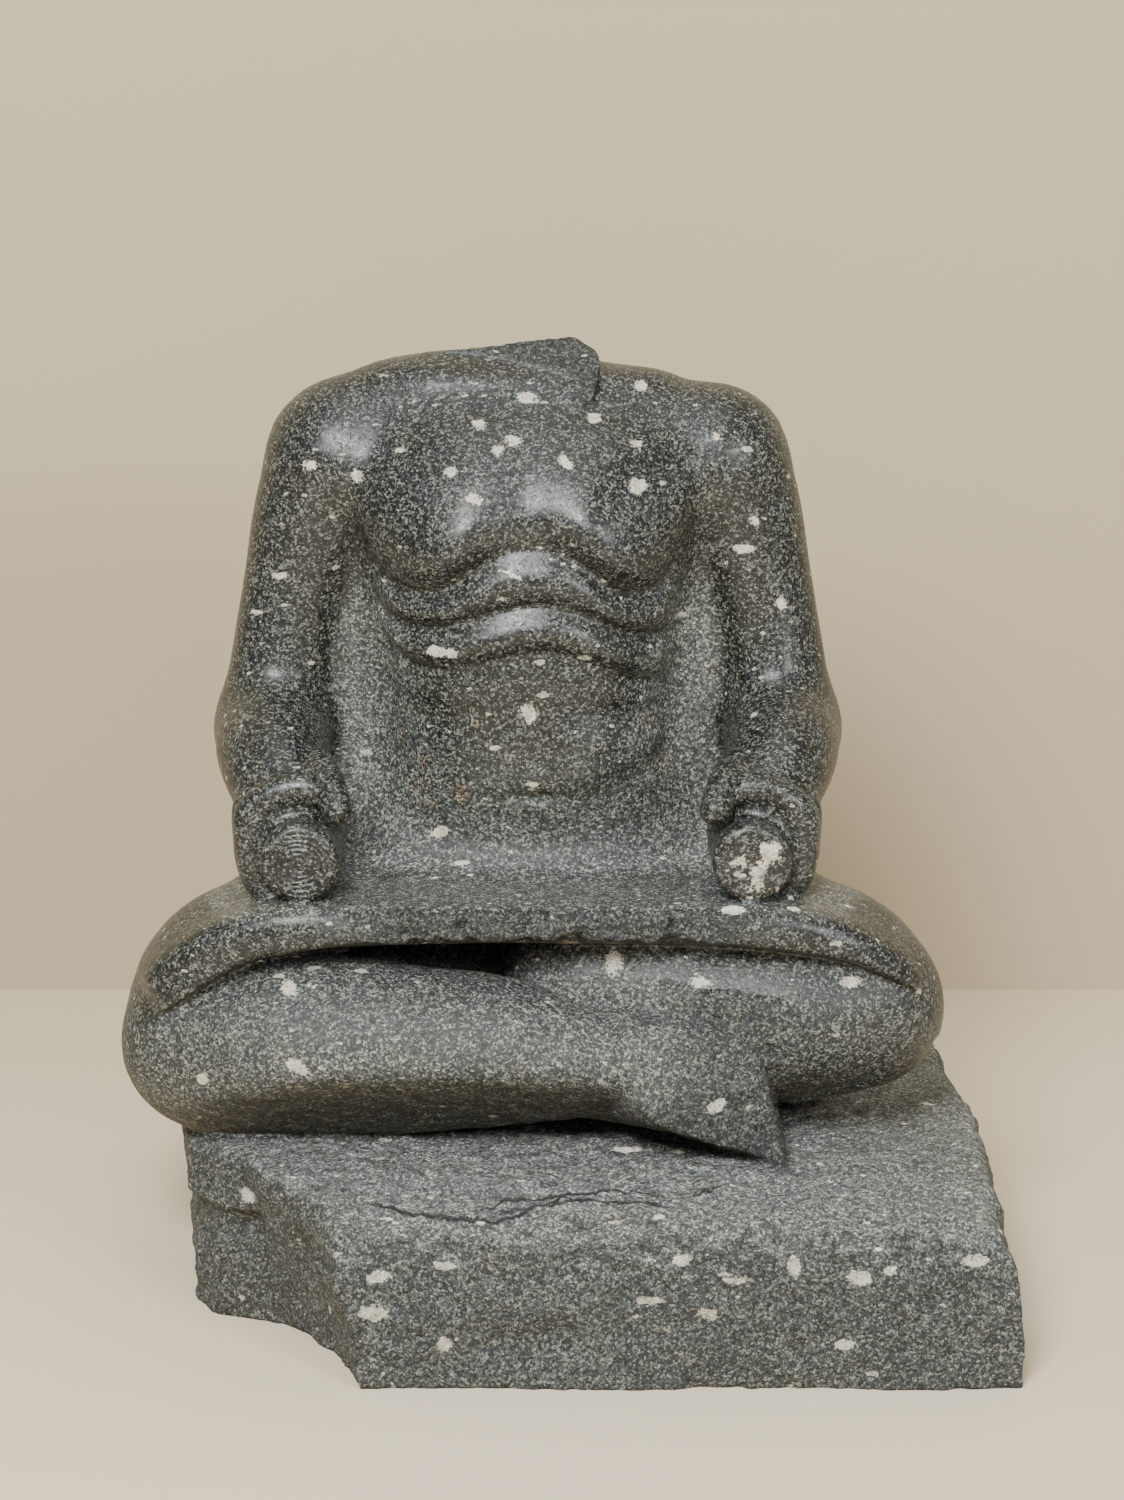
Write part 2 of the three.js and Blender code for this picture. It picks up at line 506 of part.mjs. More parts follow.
/** Thins a closed mesh by collapsing the edges that change its form least, with quadric errors. */
function thin({ points, faces }, target) {
  const TERMS = 10, EVEN = 0.006, FLIP = 0.2, SLIVER = 0.03;
  const at = Float64Array.from(points.flat());
  const corner = Int32Array.from(faces.flat());
  const gone = new Uint8Array(faces.length);
  const around = points.map(() => []);
  const quadric = new Float64Array(points.length * TERMS);
  const stamp = new Uint32Array(points.length);
  const u = new THREE.Vector3(), v = new THREE.Vector3(), w = new THREE.Vector3();
  const matrix = new THREE.Matrix3();

  for (let f = 0; f < faces.length; f++) {
    const [a, b, c] = faces[f];
    w.fromArray(at, 3 * a);
    u.fromArray(at, 3 * b).sub(w);
    v.fromArray(at, 3 * c).sub(w);
    u.cross(v);
    const size = u.length() * care(w.x, w.y, w.z);
    const n = u.normalize(), d = -n.dot(w);
    const terms = [n.x * n.x, n.x * n.y, n.x * n.z, n.x * d, n.y * n.y, n.y * n.z, n.y * d, n.z * n.z, n.z * d, d * d];
    for (const p of faces[f]) {
      around[p].push(f);
      for (let i = 0; i < TERMS; i++) quadric[p * TERMS + i] += terms[i] * size;
    }
  }

  const neighbours = (p) => {
    const found = [];
    for (const f of around[p])
      for (let i = 3 * f; i < 3 * f + 3; i++) if (corner[i] !== p && !found.includes(corner[i])) found.push(corner[i]);
    return found;
  };

  const heap = new Heap(), offers = [], q = new Float64Array(TERMS);
  /** Prices the collapse of an edge to the place where its quadric is least. */
  const offer = (a, b) => {
    for (let i = 0; i < TERMS; i++) q[i] = quadric[a * TERMS + i] + quadric[b * TERMS + i];
    u.fromArray(at, 3 * a);
    v.fromArray(at, 3 * b);
    const span = u.distanceToSquared(v);
    u.add(v).multiplyScalar(0.5);
    matrix.set(q[0], q[1], q[2], q[1], q[4], q[5], q[2], q[5], q[7]);
    if (matrix.determinant() > 1e-4 * (q[0] + q[4] + q[7]) ** 3) {
      w.set(-q[3], -q[6], -q[8]).applyMatrix3(matrix.invert());
      if (w.distanceToSquared(u) < span) u.copy(w);
    }
    const { x, y, z } = u;
    const error = q[0] * x * x + q[4] * y * y + q[7] * z * z + q[9]
      + 2 * (q[1] * x * y + q[2] * x * z + q[5] * y * z + q[3] * x + q[6] * y + q[8] * z);
    heap.push(max(error, 0) + EVEN * span, offers.push([a, b, stamp[a], stamp[b], x, y, z]) - 1);
  };

  /** Whether moving a point would turn a face over or draw it out into a sliver. */
  const spoils = (p, other, place) => {
    for (const f of around[p]) {
      const [a, b, c] = [corner[3 * f], corner[3 * f + 1], corner[3 * f + 2]];
      if (a === other || b === other || c === other) continue;
      const shape = (moved) => {
        const spot = (vector, i) => (moved && i === p ? vector.copy(place) : vector.fromArray(at, 3 * i));
        spot(w, a);
        spot(u, b).sub(w);
        spot(v, c).sub(w);
        const longest = max(u.lengthSq(), v.lengthSq(), u.distanceToSquared(v));
        const area = u.cross(v).length();
        return [u.x, u.y, u.z, area, area / (longest || 1)];
      };
      const before = shape(false), after = shape(true);
      const along = before[0] * after[0] + before[1] * after[1] + before[2] * after[2];
      if (along < FLIP * before[3] * after[3]) return true;
      if (after[4] < SLIVER && after[4] < before[4]) return true;
    }
    return false;
  };

  let alive = faces.length, before = Infinity;
  const place = new THREE.Vector3();
  while (alive > target && alive < before) {
    before = alive;
    around.forEach((_, p) => neighbours(p).forEach((r) => p < r && offer(p, r)));
    while (alive > target && heap.size) {
      const [a, b, sa, sb, x, y, z] = offers[heap.pop()];
      if (stamp[a] !== sa || stamp[b] !== sb) continue;
      place.set(x, y, z);
      const near = neighbours(b);
      if (neighbours(a).filter((p) => near.includes(p)).length !== 2) continue;
      if (spoils(a, b, place) || spoils(b, a, place)) continue;
      for (const f of around[b]) {
        const i = 3 * f, shared = corner[i] === a || corner[i + 1] === a || corner[i + 2] === a;
        for (let c = i; c < i + 3; c++) {
          if (shared && corner[c] !== b) around[corner[c]] = around[corner[c]].filter((g) => g !== f);
          if (!shared && corner[c] === b) corner[c] = a;
        }
        if (!shared) around[a].push(f);
        else gone[f] = 1;
        if (shared) alive--;
      }
      around[b] = [];
      place.toArray(at, 3 * a);
      for (let i = 0; i < TERMS; i++) quadric[a * TERMS + i] += quadric[b * TERMS + i];
      stamp[a]++;
      stamp[b]++;
      for (const p of neighbours(a)) offer(a, p);
    }
  }
  return {
    points: points.map((_, p) => [...at.subarray(3 * p, 3 * p + 3)]),
    faces: faces.map((_, f) => [...corner.subarray(3 * f, 3 * f + 3)]).filter((_, f) => !gone[f]),
  };
}

const wasm = await Module();
wasm.setup();

/** A closed solid from points and faces. */
function solid({ points, faces }) {
  const order = new Map();
  faces.flat().forEach((v) => order.has(v) || order.set(v, order.size));
  const vertProperties = new Float32Array([...order.keys()].flatMap((v) => points[v]));
  const triVerts = new Uint32Array(faces.flat().map((v) => order.get(v)));
  return new wasm.Manifold(new wasm.Mesh({ numProp: 3, vertProperties, triVerts }));
}

/** The points and faces of a three.js geometry, placed in the block's frame. */
function pieces(geometry) {
  const position = geometry.getAttribute("position");
  const points = [], faces = [], known = new Map();
  const corner = [];
  for (let i = 0; i < position.count; i++) {
    const point = [position.getX(i), position.getY(i), position.getZ(i)];
    const key = point.map((value) => value.toFixed(3)).join();
    if (!known.has(key)) known.set(key, points.push(point) - 1);
    corner.push(known.get(key));
  }
  const index = geometry.index.array;
  for (let i = 0; i < index.length; i += 3) faces.push([corner[index[i]], corner[index[i + 1]], corner[index[i + 2]]]);
  return { points, faces };
}

function scribeGeometry() {
  const margin = 60;
  const wide = max(PLINTH_RIGHT, PLINTH_LEFT, 450 * SCALE) + margin;
  const low = [-wide, -max(PLINTH_FRONT, 240 * SCALE) - margin, -margin];
  const tall = PLINTH_HEIGHT + max(STUDY_HEIGHT, SHOULDER_TOP) * SCALE;
  const high = [wide, max(PLINTH_BACK, 345 * SCALE) + margin, tall + margin];
  const rough = skin(block(), low, high, CELL);
  const ground = new THREE.BoxGeometry(4 * wide, 4 * wide, 4 * margin).translate(0, 0, -2 * margin);
  const cut = solid(thin(rough, FACES)).subtract(solid(pieces(ground)));
  const mesh = cut.getMesh();
  const geometry = new THREE.BufferGeometry();
  geometry.setAttribute("position", new THREE.BufferAttribute(new Float32Array(mesh.vertProperties), 3));
  geometry.setIndex(new THREE.BufferAttribute(new Uint32Array(mesh.triVerts), 1));
  geometry.computeVertexNormals();
  return geometry;
}

const granodiorite = new THREE.MeshStandardMaterial({ color: 0x4a4d4f, roughness: 0.5, metalness: 0 });
const scribe = new THREE.Mesh(scribeGeometry(), granodiorite);
scribe.name = "seated_scribe";

const statue = new THREE.Group();
statue.add(scribe);
export default statue;
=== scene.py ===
# The seated scribe in his block of granodiorite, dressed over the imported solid.
# The carving is described by the same fields, in millimetres, as the solid it covers.
import math
from functools import reduce

import bpy
import numpy as np
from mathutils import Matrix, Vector, noise


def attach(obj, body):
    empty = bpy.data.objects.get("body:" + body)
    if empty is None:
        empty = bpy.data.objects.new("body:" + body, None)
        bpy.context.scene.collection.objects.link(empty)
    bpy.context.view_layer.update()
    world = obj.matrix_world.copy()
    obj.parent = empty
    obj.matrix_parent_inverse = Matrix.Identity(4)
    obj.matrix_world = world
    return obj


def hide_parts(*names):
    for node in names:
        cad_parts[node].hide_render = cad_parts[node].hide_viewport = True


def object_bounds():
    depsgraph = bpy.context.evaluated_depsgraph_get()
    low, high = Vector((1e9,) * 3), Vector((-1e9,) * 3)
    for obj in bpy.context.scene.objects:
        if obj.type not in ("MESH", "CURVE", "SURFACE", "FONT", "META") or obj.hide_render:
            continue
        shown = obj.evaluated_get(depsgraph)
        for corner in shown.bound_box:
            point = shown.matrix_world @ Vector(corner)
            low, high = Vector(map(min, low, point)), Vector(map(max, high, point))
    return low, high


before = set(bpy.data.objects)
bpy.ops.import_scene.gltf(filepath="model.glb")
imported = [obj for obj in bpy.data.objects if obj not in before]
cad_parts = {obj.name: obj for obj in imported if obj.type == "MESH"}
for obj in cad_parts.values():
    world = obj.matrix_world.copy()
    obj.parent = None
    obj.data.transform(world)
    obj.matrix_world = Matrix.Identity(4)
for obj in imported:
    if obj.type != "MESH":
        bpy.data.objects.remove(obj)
CAD_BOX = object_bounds()

# The driving sizes, in millimetres
PLINTH_HEIGHT = 170
PLINTH_FRONT, PLINTH_BACK, PLINTH_RIGHT, PLINTH_LEFT = 385, 378, 489, 400
PLINTH_BATTER = 34
AXIS_X = -6
CELL = 4.6  # spacing of the sampling lattice
FACES = 190000
LATTICE_TOP = 1060  # above the neck
MARGIN = 40  # of open lattice round the stone
LOOKS_DOWN = 12.3  # degrees, of the camera


# The camera stands where the photograph was taken from
def place_camera():
    data = bpy.data.cameras.new("view")
    data.sensor_fit = "VERTICAL"
    data.sensor_height = 36
    data.lens = 77.76
    camera = bpy.data.objects.new("view", data)
    camera.location = (0.031, -3.380, 1.300)
    camera.rotation_euler = (math.radians(90 - LOOKS_DOWN), 0, 0)
    bpy.context.collection.objects.link(camera)
    bpy.context.scene.camera = camera


# Fields: functions of points, negative inside the stone
def melt(a, b, k):
    """The smooth minimum of two distances, rounded over k."""
    h = np.maximum(k - np.abs(a - b), 0) / k
    return np.minimum(a, b) - h * h * k / 4


def blend(k, *fields):
    return lambda p: reduce(lambda d, field: melt(d, field(p), k), fields[1:], fields[0](p))


def common(k, *fields):
    return lambda p: -reduce(lambda d, field: melt(d, -field(p), k), fields[1:], -fields[0](p))


def carve(k, body, tool):
    return lambda p: -melt(-body(p), tool(p), k)


def mirror(field):
    return lambda p: field(np.column_stack((2 * AXIS_X - p[:, 0], p[:, 1], p[:, 2])))


def step(value, low, high):
    t = np.clip((value - low) / (high - low), 0, 1)
    return t * t * (3 - 2 * t)


def bump(value, width):
    return np.exp(-((value / width) ** 2))


def ellipsoid(centre, radii, below=None):
    below = below or radii[2]
    least = min(*radii, below)

    def field(p):
        u, v, w = (p - centre).T / np.reshape(radii, (3, 1))
        w = np.where(w < 0, w * radii[2] / below, w)
        return (np.sqrt(u * u + v * v + w * w) - 1) * least
    return field


def plane(point, normal):
    unit = np.array(normal) / np.linalg.norm(normal)
    return lambda p: (p - point) @ unit


def box(low, high, rounding=0):
    low, high = np.array(low, float), np.array(high, float)
    centre, half = (low + high) / 2, (high - low) / 2 - rounding

    def field(p):
        q = np.abs(p - centre) - half
        out = np.linalg.norm(np.maximum(q, 0), axis=1)
        return out + np.minimum(q.max(axis=1), 0) - rounding
    return field


def bend(a, b, c, d, t):
    """A point of the smooth curve through four stations, between the second and the third."""
    return b + 0.5 * t * (c - a + t * (2 * a - 5 * b + 4 * c - d + t * (3 * (b - c) + d - a)))


def limb(*stations):
    """A round limb along a smooth curve through stations (x, y, z, radius)."""
    steps, reach = 6, 70
    s = np.array([stations[0], *stations, stations[-1]], float)
    joints = [bend(*s[i:i + 4], t / steps) for i in range(len(stations) - 1) for t in range(steps)]
    joints = np.array([*joints, s[-1]])
    low = (joints[:, :3] - joints[:, 3:]).min(0) - reach
    high = (joints[:, :3] + joints[:, 3:]).max(0) + reach

    def field(p):
        d = np.full(len(p), float(reach))
        near = ((p > low) & (p < high)).all(axis=1)
        q = p[near]
        best = np.full(len(q), 1e3)
        for a, b in zip(joints, joints[1:]):
            along = b[:3] - a[:3]
            away = q - a[:3]
            t = np.clip(away @ along / (along @ along), 0, 1)
            away = away - t[:, None] * along
            reached = np.sqrt(np.einsum("ij,ij->i", away, away)) - a[3] - (b[3] - a[3]) * t
            np.minimum(best, reached, out=best)
        d[near] = best
        return d
    return field


def drum(start, radius, length, rounding):
    """A cylinder along Y with rounded ends."""
    def field(p):
        out = np.hypot(p[:, 0] - start[0], p[:, 2] - start[2]) - radius + rounding
        along = np.abs(p[:, 1] - start[1] - length / 2) - length / 2 + rounding
        corner = np.hypot(np.maximum(out, 0), np.maximum(along, 0))
        return corner + np.minimum(np.maximum(out, along), 0) - rounding
    return field


def curves(rows):
    """Smooth curves through rows (at, value, ...), as functions of the first column."""
    rows = np.array(rows, float)
    samples = np.linspace(rows[0, 0], rows[-1, 0], 121)
    padded = np.vstack((rows[0], rows, rows[-1]))
    span = np.clip(np.searchsorted(rows[:, 0], samples, side="left") - 1, 0, len(rows) - 2)
    t = (samples - rows[span, 0]) / (rows[span + 1, 0] - rows[span, 0])
    tables = [bend(*(padded[span + i, column] for i in range(4)), t) for column in range(1, rows.shape[1])]
    return [lambda at, table=table: np.interp(at, samples, table) for table in tables]


# The trunk: horizontal sections (height, half width, front, back)
trunk_width, trunk_front, trunk_back = curves([
    (-20, 205, -10, 325),
    (100, 215, 0, 335),
    (200, 205, 5, 325),
    (270, 185, -2, 300),
    (330, 166, -26, 278),
    (400, 155, -34, 262),
    (480, 156, -38, 255),
    (560, 172, -42, 256),
    (640, 196, -42, 258),
    (690, 203, -26, 250),
    (730, 188, 2, 232),
    (775, 140, 50, 200),
])
TRUNK_TOP = 780

# The breast's lower edge and the three creases below it: rows of a place across and four heights
torso_lines = curves([
    (-200, 636, 575, 545, 490),
    (-160, 583, 543, 511, 461),
    (-130, 569, 532, 490, 443),
    (-95, 572, 532, 486, 438),
    (-60, 594, 543, 493, 442),
    (-25, 614, 553, 502, 446),
    (0, 617, 557, 506, 447),
    (25, 615, 555, 506, 447),
    (55, 597, 546, 495, 445),
    (85, 573, 531, 483, 440),
    (110, 567, 522, 473, 437),
    (135, 575, 521, 468, 436),
    (165, 620, 530, 474, 442),
    (200, 650, 548, 490, 450),
])
BREAST_RELIEF, ROLL_RELIEF = 32, 12.5
FLANK = (136, 172)
NAVEL = (8, 349)


def flesh(z, low, high):
    """A roll of flesh between two creases, 1 at its crest, that hangs over the crease below."""
    t = np.clip((z - low) / (high - low), 0, 1)
    return 5.38 * t * (1 - t) ** 1.5


def trunk_relief(x, z):
    breast, first, second, third = (line(x) for line in torso_lines)
    side = np.abs(x - AXIS_X)
    above = z - breast
    rise = 1 - (1 - np.clip(above / 58, 0, 1)) ** 2.4
    breasts = BREAST_RELIEF * rise * bump(above, 110) * (0.24 + 0.84 * bump(side - 84, 58))
    rolls = flesh(z, first, breast) + 0.95 * flesh(z, second, first) + 0.25 * flesh(z, third, second)
    fold = ROLL_RELIEF * rolls * (1 - step(side, *FLANK)) + breasts * (1 - step(side, 162, 202))
    belly = NAVEL[1] - 6 + 0.0021 * side ** 2
    paunch = 9 * step(z - belly, -14, 26) * (1 - step(z - third, -50, 10))
    paunch = paunch * (0.35 + 0.65 * step(x, -10, 70))
    middle = 3 * bump(x - NAVEL[0], 9) * step(z, 362, 390) * (1 - step(z, 430, 470))
    navel = (9 * bump(x - NAVEL[0], 9) + 4 * bump(x - NAVEL[0], 42)) * bump(z - NAVEL[1] + 1, 6)
    return fold + paunch * (1 - step(side, *FLANK)) - middle - navel


def trunk(p):
    x, y, z = p.T
    half, front, back = trunk_width(z), trunk_front(z), trunk_back(z)
    middle = front + 0.52 * (back - front)
    u = np.abs(x - AXIS_X) / half
    depth = np.where(y < middle, middle - front, back - middle)
    v = np.abs(y - middle) / depth
    d = ((u ** 2.4 + v ** 2.4) ** (1 / 2.4) - 1) * np.minimum(half, depth)
    relief = step(middle - y, 20, 90) * trunk_relief(x, z)
    spine = 8 * bump(x - AXIS_X, 22) * step(y, middle, middle + 60) * step(z, 300, 400)
    return -melt(-(d - relief + spine), TRUNK_TOP - z, 20)


# The arms, from the shoulder to the elbow and forwards to the wrist
upper_arm = limb(
    (-207, 102, 694, 78), (-236, 98, 635, 66), (-257, 94, 560, 57),
    (-272, 88, 480, 56), (-281, 80, 405, 61),
)
fore_arm = limb((-281, 80, 402, 61), (-280, 20, 392, 60), (-272, -30, 372, 53), (-258, -66, 350, 44))
shoulders = limb(
    (-207, 102, 695, 76), (-188, 104, 716, 69), (-104, 108, 747, 60), (AXIS_X, 110, 750, 57),
    (92, 108, 730, 58), (172, 104, 703, 69), (195, 102, 688, 76),
)
shoulder_blade = ellipsoid((-105, 205, 640), (85, 52, 95))
web = blend(20, box((-225, 66, 230), (-120, 215, 640), 16), box((-288, -50, 230), (-224, 112, 372), 28))

# The fists, each closed round a papyrus roll
ROLL_AXIS = (-239, 306)
ROLL_FRONT = -152
roll = drum((ROLL_AXIS[0], ROLL_FRONT, ROLL_AXIS[1]), 41, 150, 8)
palm = ellipsoid((-254, -62, 322), (58, 60, 72))
thumb = limb((-226, -56, 386, 20), (-212, -96, 376, 18), (-201, -126, 357, 16))


def finger(place, reach, thick):
    def field(p):
        out, up = ROLL_AXIS[0] - p[:, 0], p[:, 2] - ROLL_AXIS[1]
        arch = reach + 15 * step(up, 0, 60)
        return np.maximum(np.hypot(np.hypot(out, up) - arch, p[:, 1] - place) - thick, -14 - out)
    return field


# The kilt, drawn tight from knee to knee
lap_top, = curves([
    (0, 263), (150, 264), (250, 263), (300, 254), (345, 236), (390, 206), (420, 170), (446, 130),
])
LAP_FRONT, KNEE_LINE, KNEES = -178, -20, 441


def lap(p):
    x, y, z = p.T
    reach = np.maximum(KNEE_LINE - y, 0) / (KNEE_LINE - LAP_FRONT)
    wide = np.abs(x) / (KNEES - 0.9 * np.maximum(y - KNEE_LINE, 0))
    wide = np.where(wide < 0, 9, wide)
    plan = ((wide ** 4 + reach ** 4) ** 0.25 - 1) * 170
    down = (z - lap_top(wide * KNEES)) * 0.8
    floor = 40 + 130 * step(wide, 0.63, 0.97)
    return -melt(melt(-plan, -down, 24), np.minimum(z - floor, 150 - y), 24)


left_knee = ellipsoid((-298, -48, 92), (139, 142, 164), 110)
right_knee = ellipsoid((290, -48, 115), (147, 142, 142), 80)
thigh = limb((-130, 150, 134, 124), (-285, -20, 130, 118))
hips = ellipsoid((AXIS_X, 95, 250), (235, 105, 130))
buttock = ellipsoid((-105, 185, 105), (165, 140, 135))

hem, = curves([
    (-445, 30), (-432, 84), (-410, 135), (-384, 155), (-328, 190), (-286, 212), (-198, 226), (0, 230),
    (213, 226), (326, 210), (395, 180), (421, 145), (437, 110), (445, 60),
])
KILT_WALL = -104
HOLLOW = ((-80, -75, 178), (128, 75, 58))  # the deep hollow under the kilt, left of the middle


def kilt_opening(p):
    x, y, z = p.T
    wall = KILT_WALL - 30 * step(np.abs(x), 190, 330) + 70 * step(np.abs(x), 370, 440)
    return np.maximum((z - hem(x) + 0.3 * (y - LAP_FRONT)) * 0.7, y - wall)


# The crossed legs, the foot and the stone left round them
front_leg = limb(
    (-346, -74, 92, 91), (-270, -108, 98, 98), (-200, -124, 98, 100), (-120, -132, 95, 93),
    (-40, -138, 96, 84), (30, -152, 90, 67), (80, -156, 87, 60), (132, -160, 88, 52),
)
back_leg = limb(
    (346, -66, 132, 90), (276, -80, 130, 96), (213, -72, 131, 97), (150, -66, 136, 97),
    (110, -66, 141, 87), (76, -64, 149, 78), (52, -62, 155, 70), (30, -60, 158, 62),
)
undercut = plane((-200, -208, 82), (0, -0.68, -0.73))  # the rough underside of the front leg
foot = common(
    12,
    plane((118, -140, 146), (0.12, 0, 1)),
    plane((231, -183, 110), (0.3, -1, 0.37)),
    plane((237, -150, 110), (1, 0, 0.24)),
    plane((100, -190, 42), (-0.27, -0.3, -0.91)),
    plane((96, -214, 80), (-0.72, -0.66, -0.2)),
    box((92, -260, -30), (300, -42, 200)),
)
ledge = common(
    9,
    box((180, -235, -30), (262, -50, 24), 6),
    plane((195, -172, 0), (-0.67, -0.74, 0.3)),
    plane((250, -208, 20), (0.1, -0.5, 1)),
)
seat_stone = box((-318, -20, -60), (320, 318, 78), 45)

# The neck: a stump broken along a plane that faces forwards, with a sharp edge on its right
NECK_TOP = 830
neck = common(
    5,
    ellipsoid((-6, 98, NECK_TOP - 68), (104, 84, 90)),
    plane((34, 92, NECK_TOP - 3), (-0.10, -0.74, 0.65)),
    plane((34, 94, NECK_TOP - 3), (-0.12, 0.5, 0.86)),
    plane((50, 92, NECK_TOP - 9), (0.6, 0, 0.8)),
    plane((66, 40, NECK_TOP - 60), (0.94, 0.1, -0.3)),
)


def both(field):
    return blend(0.1, field, mirror(field))


torso = blend(36, blend(34, trunk, shoulders, hips), both(blend(26, web, shoulder_blade)))
seat = blend(40, thigh, mirror(thigh), buttock, mirror(buttock))
kilt = carve(7, blend(12, lap, common(18, left_knee, undercut), right_knee, seat), kilt_opening)
kilt = carve(10, kilt, ellipsoid(*HOLLOW))
crossing = blend(26, common(12, front_leg, undercut), foot)
legs = blend(4, crossing, back_leg, ledge)
body = blend(52, torso, blend(6, kilt, legs, seat_stone))
arms = both(blend(24, upper_arm, fore_arm))
fingers = blend(6, finger(-104, 54, 17), finger(-74, 57, 18), finger(-46, 56, 18))
hand = blend(5, blend(7, palm, fingers, thumb), roll)
figure = blend(6, blend(16, body, arms), both(hand), neck)

# The plinth's outline at its foot and at its top. The left front corner is broken away.
plinth_outline = np.array([
    ((PLINTH_RIGHT, -PLINTH_FRONT), (PLINTH_RIGHT - 14, PLINTH_BATTER - PLINTH_FRONT)),
    ((PLINTH_RIGHT - 4, -60), (PLINTH_RIGHT - 6, -60)),
    ((PLINTH_RIGHT - 14, PLINTH_BACK), (PLINTH_RIGHT - 28, PLINTH_BACK - PLINTH_BATTER)),
    ((-PLINTH_LEFT, PLINTH_BACK), (16 - PLINTH_LEFT, PLINTH_BACK - PLINTH_BATTER)),
    ((28 - PLINTH_LEFT, 0), (17 - PLINTH_LEFT, -20)),
    ((42 - PLINTH_LEFT, -151), (32 - PLINTH_LEFT, -100)),
    ((67 - PLINTH_LEFT, -185), (60 - PLINTH_LEFT, -140)),
    ((138 - PLINTH_LEFT, -220), (92 - PLINTH_LEFT, -178)),
    ((200 - PLINTH_LEFT, -292), (140 - PLINTH_LEFT, -262)),
    ((231 - PLINTH_LEFT, -PLINTH_FRONT), (182 - PLINTH_LEFT, PLINTH_BATTER - PLINTH_FRONT)),
], float)


def outline(corners, rise, x, y):
    """The distance from a closed outline given at the foot and at the top, negative inside."""
    at = [lower[:, None] + (upper - lower)[:, None] * rise for lower, upper in corners]
    nearest, inside = np.full(len(x), 1e9), np.zeros(len(x), bool)
    for (ax, ay), (bx, by) in zip([at[-1], *at[:-1]], at):
        ex, ey, wx, wy = bx - ax, by - ay, x - ax, y - ay
        t = np.clip((wx * ex + wy * ey) / (ex * ex + ey * ey), 0, 1)
        nearest = np.minimum(nearest, (wx - ex * t) ** 2 + (wy - ey * t) ** 2)
        rising = np.where(by == ay, 1, by - ay)
        inside ^= ((ay > y) != (by > y)) & (x < (bx - ax) * (y - ay) / rising + ax)
    return np.where(inside, -1, 1) * np.sqrt(nearest)


def swell(x, y, z):
    """Slow swells of rough-dressed stone."""
    first = np.sin(x / 47 + 1.3 * np.sin(y / 61))
    return first * np.sin(y / 53 + np.sin(z / 38)) * np.sin(z / 44 + 0.7 * np.sin(x / 59) + 1)


def plinth(p):
    x, y, z = p.T
    rise = np.clip(z / PLINTH_HEIGHT, 0, 1) ** 1.6
    notch = 15 * step(z, 55, 100) * (1 - step(z, 100, 116)) * step(-x, 240, 300) * (1 - step(-y, 180, 240))
    dent = 11 * bump(x, 80) * bump(z - 44 - 0.12 * x, 20) * step(-y, 300, 360)
    side = outline(plinth_outline, rise, x, y) + 5 * swell(x, y, z) + notch + dent
    top = z - PLINTH_HEIGHT - 2 * np.sin(x / 90) + 14 * step(-y, 220, 365)
    return -melt(-side, -top, 26 + 34 * step(-y, 250, 340))


def lifted(field):
    """A field of the figure, set on the plinth."""
    return lambda p: field(p - (0, 0, PLINTH_HEIGHT))


block = blend(8, lifted(figure), plinth)


def in_runs(field, points, run=60000):
    return np.concatenate([field(points[i:i + run]) for i in range(0, len(points), run)])


def slope(field, points, near):
    """The field and its gradient at points."""
    here = in_runs(field, points)
    moved = [in_runs(field, points + np.eye(3)[axis] * near) for axis in range(3)]
    return here, (np.stack(moved, 1) - here[:, None]) / near


def lattice(*ranges):
    """Every node of a lattice, one to a row."""
    return np.stack(np.meshgrid(*ranges, indexing="ij"), -1).reshape(-1, 3)


